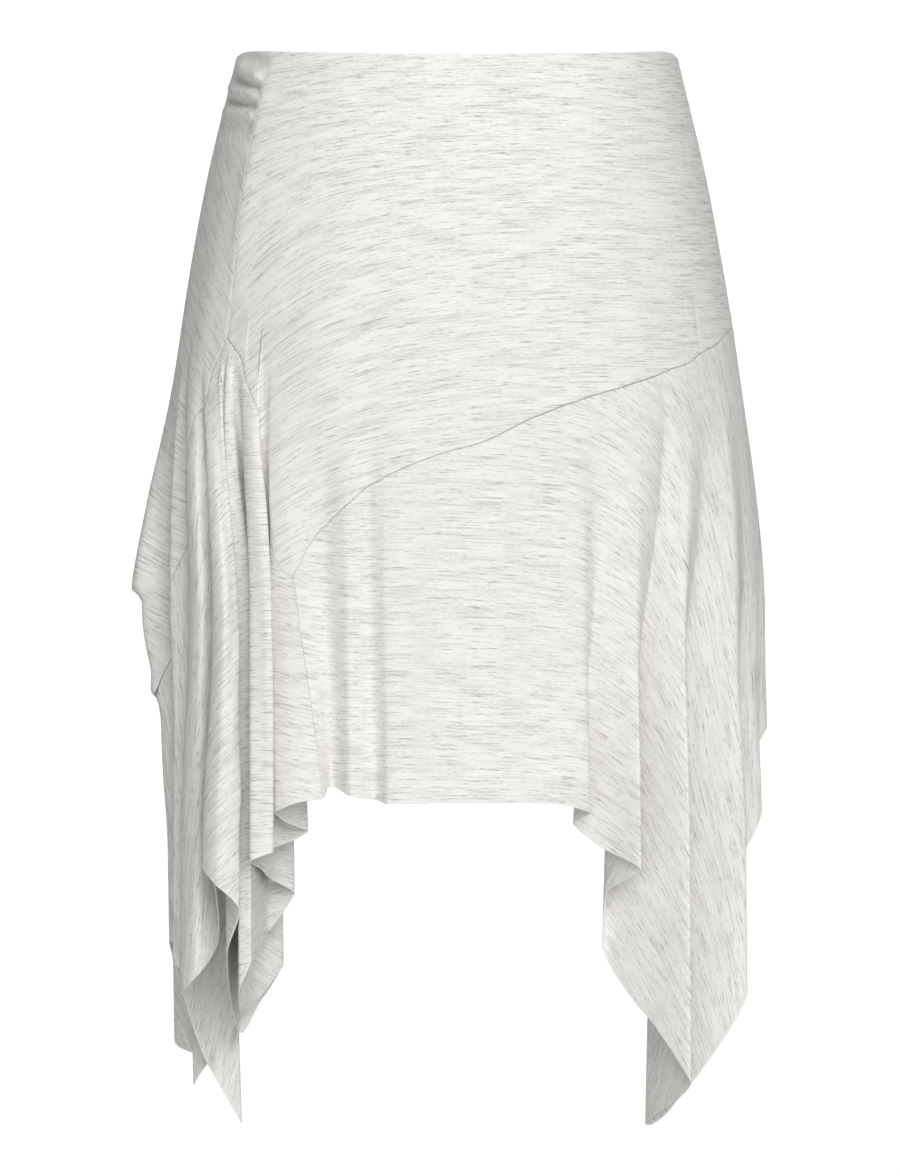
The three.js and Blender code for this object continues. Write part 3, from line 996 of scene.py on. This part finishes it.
@dataclass
class ClothPiece:
    """A panel made into a closed shell of jersey, with its grain map, its turn share and two masks:
    a painted highlight on the hem edges and a painted shadow along the seams.
    """

    panel: Panel
    form: DrapeForm
    relief: Relief
    edge_round: float = 0.4
    edge_thinnest: float = 0.04
    # Distances over which the painted hem highlight fades, in millimetres.
    hem_highlight_fade: Sequence[float] = (0.4, 1.6)
    # Width of the painted shadow along the seams, in millimetres.
    seam_shadow_line: float = 0.32

    def build(self) -> bpy.types.Object:
        """Make the panel's mesh and its object, which stands for the frame's node.

        Returns:
            The piece's object.
        """
        shell = self.panel.shell(self.form)
        middle = shell.points + shell.normals * self.relief.at(self.panel, shell)[:, :, None]
        normals = outward(middle)
        edge = np.minimum(shell.seam_gap, shell.hem_gap)
        share = np.clip(1 - edge / self.edge_round, 0, 1)
        half = self.panel.thickness / 2 * np.sqrt(np.maximum(1 - share**2, self.edge_thinnest))
        outer = middle + normals * half[:, :, None]
        inner = middle - normals * half[:, :, None]
        name = f"{self.panel.node}_cloth"
        mesh = bpy.data.meshes.new(name)
        points = np.concatenate([outer.reshape(-1, 3), inner.reshape(-1, 3)]) * MM
        faces = self.faces(*shell.run.shape)
        mesh.from_pydata(points.tolist(), [], faces.tolist())
        mesh.shade_smooth()
        self.map_grain(mesh, shell)
        # Painted highlight along the hem edge.
        self.mark(mesh, HEM_HIGHLIGHT_MASK, 1 - fade(shell.hem_gap, *self.hem_highlight_fade))
        # Painted shadow in the seam's groove, weaker where the seam lies smooth and left out where
        # it stands up in the light.
        shade = np.exp(-((shell.seam_gap / self.seam_shadow_line) ** 2)) * self.relief.calm(shell)
        self.mark(mesh, SEAM_SHADOW_MASK, shade)
        self.mark(mesh, TURN_SHARE, shell.grain[:, :, 4])
        mesh.validate()
        piece = bpy.data.objects.new(name, mesh)
        bpy.context.scene.collection.objects.link(piece)
        self.declare(piece)
        return piece

    def faces(self, columns: int, rows: int) -> np.ndarray:
        """List the faces of the outside, the inside and the four edges, facing outwards.

        Args:
            columns: How many columns of points the shell has.
            rows: How many rows of points it has.

        Returns:
            The numbers of each face's four points.
        """
        count = columns * rows
        number = np.arange(count).reshape(columns, rows)
        a, b = number[:-1, :-1], number[1:, :-1]
        c, d = number[1:, 1:], number[:-1, 1:]
        outside = np.stack([a, d, c, b], axis=-1).reshape(-1, 4)
        inside = np.stack([a, b, c, d], axis=-1).reshape(-1, 4) + count
        ring = np.concatenate([number[:-1, 0], number[-1, :-1], number[:0:-1, -1], number[0, :0:-1]])
        after = np.roll(ring, -1)
        rim = np.stack([ring, after, after + count, ring + count], axis=-1)
        return np.concatenate([outside, inside, rim])

    def map_grain(self, mesh: bpy.types.Mesh, shell: Shell) -> None:
        """Give the mesh its two maps of the knit, in metres, whose first axis is the streaks'.

        Args:
            mesh: The piece's mesh.
            shell: The panel's points on the form.
        """
        grain = np.concatenate([shell.grain.reshape(-1, 5)] * 2) * MM
        corners = np.empty(len(mesh.loops), np.int32)
        mesh.loops.foreach_get("vertex_index", corners)
        for name, first in ((GRAIN_MAP, 0), (TURNED_MAP, 2)):
            layer = mesh.uv_layers.new(name=name)
            places = grain[corners, first : first + 2]
            layer.data.foreach_set("uv", places.astype(np.float32).ravel())

    def mark(self, mesh: bpy.types.Mesh, name: str, mask: np.ndarray) -> None:
        """Keep a mask of 0 to 1 on the mesh's points."""
        values = np.concatenate([mask.ravel()] * 2).astype(np.float32)
        mesh.attributes.new(name, "FLOAT", "POINT").data.foreach_set("value", values)

    def declare(self, piece: bpy.types.Object) -> None:
        """Tie the piece to the frame's body, and hide the frame's node that it stands for.

        Args:
            piece: The piece's object.
        """
        panel = self.panel
        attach(piece, BODY)
        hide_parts(panel.node)


Value = Union["Wire", float]


class Wire:
    """A shader socket that takes part in Python expressions."""

    def __init__(self, sheet: "NodeSheet", socket: bpy.types.NodeSocket) -> None:
        """Keep the socket and the sheet of nodes that it belongs to."""
        self.sheet = sheet
        self.socket = socket

    def math(self, operation: str, *values: Value) -> "Wire":
        """Add a Math node that works on the values."""
        return self.sheet.add("ShaderNodeMath", {"operation": operation}, dict(enumerate(values)))

    def __add__(self, other: Value) -> "Wire":
        """Return the sum."""
        return self.math("ADD", self, other)

    def __radd__(self, other: Value) -> "Wire":
        """Return the sum."""
        return self.math("ADD", other, self)

    def __sub__(self, other: Value) -> "Wire":
        """Return the difference."""
        return self.math("SUBTRACT", self, other)

    def __rsub__(self, other: Value) -> "Wire":
        """Return the difference, the other way round."""
        return self.math("SUBTRACT", other, self)

    def __mul__(self, other: Value) -> "Wire":
        """Return the product."""
        return self.math("MULTIPLY", self, other)

    def __rmul__(self, other: Value) -> "Wire":
        """Return the product."""
        return self.math("MULTIPLY", other, self)

    def ramp(self, low: float, high: float) -> "Wire":
        """Turn the value into a smooth step.

        Args:
            low: The value up to which the step is 0.
            high: The value from which it is 1.

        Returns:
            The step.
        """
        settings = {"interpolation_type": "SMOOTHSTEP"}
        values = {"Value": self, "From Min": low, "From Max": high}
        return self.sheet.add("ShaderNodeMapRange", settings, values, "Result")

    def sine(self) -> "Wire":
        """Return the sine."""
        return self.math("SINE", self)


class NodeSheet:
    """The nodes of one material, with one way to add any of them."""

    def __init__(self, name: str) -> None:
        """Start a material with an empty sheet.

        Args:
            name: The material's name.
        """
        self.material = bpy.data.materials.new(name)
        self.material.use_nodes = True
        self.tree = self.material.node_tree
        self.tree.nodes.clear()

    def add(self, kind: str, settings: dict, values: dict, output: Union[int, str] = 0) -> Wire:
        """Add a node.

        Args:
            kind: The node's type.
            settings: Its own settings, which are set first.
            values: A number, colour or wire for each of its sockets that needs one.
            output: The output that the wire is taken from.

        Returns:
            The wire from that output.
        """
        node = self.tree.nodes.new(kind)
        for key, value in settings.items():
            setattr(node, key, value)
        for key, value in values.items():
            if isinstance(value, Wire):
                self.tree.links.new(value.socket, node.inputs[key])
            else:
                node.inputs[key].default_value = value
        return Wire(self, node.outputs[output] if len(node.outputs) else None)

    def attribute(self, name: str) -> Wire:
        """Return a mask that is kept on the mesh's points."""
        return self.add("ShaderNodeAttribute", {"attribute_name": name}, {}, "Fac")

    def mix(self, factor: Value, first: Union[Wire, tuple], second: Union[Wire, tuple]) -> Wire:
        """Mix two colours."""
        return self.add("ShaderNodeMix", {"data_type": "RGBA"}, {0: factor, 6: first, 7: second}, 2)

    def noise(self, place: Wire, size: tuple[float, float], detail: float, shift: float) -> Wire:
        """Add a flat noise whose grains have some width and height.

        Args:
            place: Places on the cloth, in metres.
            size: The grains' width and height, in metres.
            detail: How many finer layers it has.
            shift: How far it is moved, so that no two noises lie alike.

        Returns:
            The noise, from 0 to 1.
        """
        scale = (1 / size[0], 1 / size[1], 1)
        moved = {"Vector": place, "Scale": scale, "Location": (shift, shift * 3, 0)}
        vector = self.add("ShaderNodeMapping", {}, moved)
        values = {"Vector": vector, "Scale": 1.0, "Detail": detail}
        return self.add("ShaderNodeTexNoise", {"noise_dimensions": "2D"}, values)


@dataclass(frozen=True)
class HeatherJersey:
    """A fine knit of white and grey yarn, with slubs that lie along its courses, a painted shadow
    along the seams and a painted highlight on the hem edges.
    """

    name: str = "heather_jersey"
    white: tuple = (0.885, 0.873, 0.835, 1)
    grey: tuple = (0.575, 0.560, 0.525, 1)
    fleck: tuple = (0.290, 0.276, 0.250, 1)
    # Painted highlight colour for the hem edges.
    hem_painted_highlight: tuple = (0.93, 0.93, 0.92, 1)
    # Painted shadow colour for the seam grooves.
    seam_painted_shadow: tuple = (0.26, 0.25, 0.23, 1)
    roughness: float = 0.92
    sheen: float = 0.12
    band_size: tuple = (0.050, 0.0050)
    streak_size: tuple = (0.024, 0.0010)
    thread_size: tuple = (0.0036, 0.0005)
    slub_size: tuple = (0.0100, 0.0007)
    streak_depth: float = 0.8
    fleck_depth: float = 0.62
    glow_through: float = 0.5
    glow_reach: float = 0.0022
    stitch_width: float = 0.0008
    course_height: float = 0.0010
    soft_mix: tuple = (0.28, 0.42, 0.30)
    soft_limits: tuple = (0.42, 0.68)
    sharp_mix: tuple = (0.50, 0.36, 0.14)
    sharp_limits: tuple = (0.545, 0.68)
    relief_mix: tuple = (0.4, 1.2, 1.0)
    # How strong the painted seam shadow is.
    seam_shadow_depth: float = 0.8
    # How strong the painted hem highlight is.
    hem_highlight_depth: float = 0.5

    def make(self) -> bpy.types.Material:
        """Build the material.

        Returns:
            The jersey's material.
        """
        sheet = NodeSheet(self.name)
        share = sheet.attribute(TURN_SHARE)
        first = self.knit(sheet, GRAIN_MAP)
        turned = self.knit(sheet, TURNED_MAP)
        soft, sharp, height = (a + share * (b - a) for a, b in zip(first, turned))
        colour = sheet.mix(soft * self.streak_depth, self.white, self.grey)
        colour = sheet.mix(sharp * self.fleck_depth, colour, self.fleck)
        # Painted shadow along the seam grooves.
        colour = sheet.mix(sheet.attribute(SEAM_SHADOW_MASK) * self.seam_shadow_depth, colour, self.seam_painted_shadow)
        # Painted highlight along the hem edges.
        colour = sheet.mix(sheet.attribute(HEM_HIGHLIGHT_MASK) * self.hem_highlight_depth, colour, self.hem_painted_highlight)
        relief = {"Strength": 0.3, "Distance": 0.0004, "Height": height}
        bump = sheet.add("ShaderNodeBump", {}, relief, "Normal")
        surface = {
            "Base Color": colour,
            "Roughness": self.roughness,
            "Specular IOR Level": 0.2,
            "Subsurface Weight": self.glow_through,
            "Subsurface Radius": (1.0, 1.0, 1.0),
            "Subsurface Scale": self.glow_reach,
            "Sheen Weight": self.sheen,
            "Sheen Roughness": 0.6,
            "Normal": bump,
        }
        shader = sheet.add("ShaderNodeBsdfPrincipled", {}, surface)
        sheet.add("ShaderNodeOutputMaterial", {}, {"Surface": shader})
        return sheet.material

    def knit(self, sheet: NodeSheet, grain_map: str) -> tuple[Wire, Wire, Wire]:
        """Draw the knit on one map.

        Args:
            sheet: The material's nodes.
            grain_map: The map's name.

        Returns:
            The soft streaks, the sharp flecks and the height of the stitches.
        """
        place = sheet.add("ShaderNodeUVMap", {"uv_map": grain_map}, {})
        bands = sheet.noise(place, self.band_size, 2.0, 1.9)
        streaks = sheet.noise(place, self.streak_size, 3.0, 3.7)
        threads = sheet.noise(place, self.thread_size, 2.0, 6.3)
        slubs = sheet.noise(place, self.slub_size, 2.0, 9.1)
        of_bands, of_streaks, of_threads = self.soft_mix
        soft = of_bands * bands + of_streaks * streaks + of_threads * threads
        soft = soft.ramp(*self.soft_limits)
        of_slubs, of_streaks, of_threads = self.sharp_mix
        sharp = of_slubs * slubs + of_streaks * streaks + of_threads * threads
        sharp = sharp.ramp(*self.sharp_limits)
        along = sheet.add("ShaderNodeSeparateXYZ", {}, {"Vector": place})
        up = Wire(sheet, along.socket.node.outputs["Y"])
        turn = 2 * math.pi
        wales = (along * (turn / self.stitch_width)).sine()
        courses = (up * (turn / self.course_height)).sine()
        of_stitches, of_threads, of_slubs = self.relief_mix
        height = of_stitches * (wales * courses) + of_threads * threads + of_slubs * slubs
        return soft, sharp, height


@dataclass
class Skirt:
    """The whole skirt: five sewn pieces on one form."""

    form: DrapeForm = field(default_factory=DrapeForm)
    relief: Relief = field(default_factory=Relief)
    finish: HeatherJersey = field(default_factory=HeatherJersey)

    def panels(self) -> tuple[Panel, ...]:
        """List the five panels. The front ones run on past the table's end, round to its start.

        Returns:
            The panels, each with its node, its cut, its fold numbers and its flat sizes.
        """
        left = fold_number("side seam")
        right = fold_number("right outline") - 0.3
        drape = fold_number("drape edge")
        back = fold_number("back left groove")
        left_on = left + FOLD_COUNT
        drape_on = drape + FOLD_COUNT
        return (
            Panel("front_yoke", Cut.YOKE, right, left_on, 420, 370, 0.103, 94),
            Panel("back_yoke", Cut.YOKE, left, right, 560, 470, 0.182, 106),
            Panel("front_flounce", Cut.FLOUNCE, right, drape_on, 700, 560, 0.165, 120),
            Panel("left_flounce", Cut.FLOUNCE, drape, back, 620, 480, 0.200, 110),
            Panel("back_flounce", Cut.FLOUNCE, back, right, 520, 320, 0.102, 90),
        )

    def build(self) -> list[bpy.types.Object]:
        """Build every piece and dress it in the jersey.

        Returns:
            The pieces' objects.
        """
        cloth = self.finish.make()
        pieces = []
        for panel in self.panels():
            piece = ClothPiece(panel, self.form, self.relief).build()
            piece.data.materials.append(cloth)
            LOG.info("%s: %d faces", piece.name, len(piece.data.polygons))
            pieces.append(piece)
        return pieces


@dataclass(frozen=True)
class Studio:
    """A pale seamless floor, soft light and the camera, in metres."""

    floor_z: float = -1.12
    floor_radius: float = 34.0
    curve_radius: float = 14.0
    curve_turn: float = 62.0
    curve_steps: int = 24
    round_steps: int = 128
    floor_colour: tuple = (0.93, 0.93, 0.93, 1)
    floor_glow: float = 0.44
    sky_strength: float = 0.2
    key_strength: float = 1.85
    key_spread: float = 40.0
    key_turn: tuple = (60.0, 0.0, 12.0)
    back_strength: float = 1.0
    back_spread: float = 50.0
    back_turn: tuple = (62.0, 0.0, 180.0)
    side_card_grey: float = 0.12
    low_card_grey: float = 0.35
    low_card_z: float = -1.0
    card_side: float = 0.8
    card_front: float = -0.5
    card_back: float = 0.6
    card_low: float = -0.75
    card_high: float = 0.35
    camera_place: tuple = (-0.0048, -14.04, -0.3658)
    view_height: float = 0.7997
    view_distance: float = 14.0
    sensor: float = 36.0
    sight: float = 200.0

    def build(self) -> None:
        """Set up the floor, the light and the camera."""
        self.floor()
        self.cards()
        self.light()
        self.camera()

    def floor(self) -> None:
        """Make the floor, which curves up into its wall all round, with no edge in view."""
        sheet = NodeSheet("pale_floor")
        surface = {
            "Base Color": self.floor_colour,
            "Roughness": 0.9,
            "Specular IOR Level": 0.1,
            "Emission Color": (1, 1, 1, 1),
            "Emission Strength": self.floor_glow,
        }
        shader = sheet.add("ShaderNodeBsdfPrincipled", {}, surface)
        sheet.add("ShaderNodeOutputMaterial", {}, {"Surface": shader})
        profile = [(0.0, 0.0), (self.floor_radius, 0.0)]
        for n in range(1, self.curve_steps + 1):
            turn = math.radians(self.curve_turn * n / self.curve_steps)
            across = self.floor_radius + self.curve_radius * math.sin(turn)
            profile.append((across, self.curve_radius * (1 - math.cos(turn))))
        steps = self.round_steps
        points = [(0.0, 0.0, self.floor_z)]
        for across, up in profile[1:]:
            for n in range(steps):
                turn = 2 * math.pi * n / steps
                place = (across * math.cos(turn), across * math.sin(turn), self.floor_z + up)
                points.append(place)
        faces = [(0, 1 + n, 1 + (n + 1) % steps) for n in range(steps)]
        for ring in range(len(profile) - 2):
            first = 1 + ring * steps
            for n in range(steps):
                after = (n + 1) % steps
                faces.append((first + n, first + steps + n, first + steps + after, first + after))
        mesh = bpy.data.meshes.new("studio_floor")
        mesh.from_pydata(points, [], faces)
        mesh.shade_smooth()
        mesh.materials.append(sheet.material)
        floor = bpy.data.objects.new("studio_floor", mesh)
        bpy.context.scene.collection.objects.link(floor)

    def card(self, name: str, grey: float, low: tuple, high: tuple) -> None:
        """Stand or lay a grey card beside the skirt, out of the camera's sight.

        Args:
            name: The card's name.
            grey: How light it is.
            low: Its lowest corner.
            high: Its highest corner, at the same height for a card that lies.
        """
        sheet = NodeSheet(name)
        colour = (grey, grey, grey, 1)
        shader = sheet.add("ShaderNodeBsdfDiffuse", {}, {"Color": colour})
        sheet.add("ShaderNodeOutputMaterial", {}, {"Surface": shader})
        level = low[2] == high[2]
        second = (high[0], low[1], low[2]) if level else (low[0], high[1], low[2])
        fourth = (low[0], high[1], low[2]) if level else (low[0], low[1], high[2])
        mesh = bpy.data.meshes.new(name)
        mesh.from_pydata([low, second, high, fourth], [], [(0, 1, 2, 3)])
        mesh.materials.append(sheet.material)
        card = bpy.data.objects.new(name, mesh)
        card.visible_camera = False
        bpy.context.scene.collection.objects.link(card)

    def cards(self) -> None:
        """Set the two side cards and the one below."""
        side = self.card_side
        front, back = self.card_front, self.card_back
        low, high = self.card_low, self.card_high
        grey = self.side_card_grey
        self.card("left_card", grey, (-side, front, low), (-side, back, high))
        self.card("right_card", grey, (side, front, low), (side, back, high))
        level = self.low_card_z
        self.card("low_card", self.low_card_grey, (-side, front, level), (side, back, level))

    def light(self) -> None:
        """Light the room evenly, with a broad soft key from the front and a weaker one behind."""
        world = bpy.data.worlds.new("studio_air")
        world.use_nodes = True
        sky = world.node_tree.nodes["Background"]
        sky.inputs["Color"].default_value = (1, 1, 1, 1)
        sky.inputs["Strength"].default_value = self.sky_strength
        bpy.context.scene.world = world
        self.lamp("soft_key", self.key_strength, self.key_spread, self.key_turn)
        self.lamp("back_fill", self.back_strength, self.back_spread, self.back_turn)
        bpy.context.scene.view_settings.view_transform = "Standard"

    def lamp(self, name: str, strength: float, spread: float, turn: tuple) -> None:
        """Hang one broad soft lamp.

        Args:
            name: The lamp's name.
            strength: How strong it is.
            spread: How wide it looks from the skirt, in degrees.
            turn: How it is turned about the three axes, in degrees.
        """
        light = bpy.data.lights.new(name, "SUN")
        light.energy = strength
        light.angle = math.radians(spread)
        lamp = bpy.data.objects.new(name, light)
        lamp.rotation_euler = [math.radians(angle) for angle in turn]
        bpy.context.scene.collection.objects.link(lamp)

    def camera(self) -> None:
        """Place the camera level with the middle of the skirt, far off, as the photograph's."""
        lens = bpy.data.cameras.new("camera")
        lens.sensor_width = self.sensor
        lens.lens = self.sensor * self.view_distance / self.view_height
        lens.clip_end = self.sight
        camera = bpy.data.objects.new("camera", lens)
        camera.location = self.camera_place
        camera.rotation_euler = (math.pi / 2, 0, 0)
        bpy.context.scene.collection.objects.link(camera)
        bpy.context.scene.camera = camera


def corners(box: tuple[Vector, Vector]) -> list[list[float]]:
    """Return a box's two corners as plain lists."""
    return [list(corner) for corner in box]


def main() -> None:
    """Build the skirt and its studio."""
    logging.basicConfig(level=logging.INFO, format="%(name)s: %(message)s")
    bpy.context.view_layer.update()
    pieces = Skirt().build()
    LOG.info("%d pieces of cloth", len(pieces))
    Studio().build()
    bpy.context.view_layer.update()


if __name__ == "__main__":
    main()
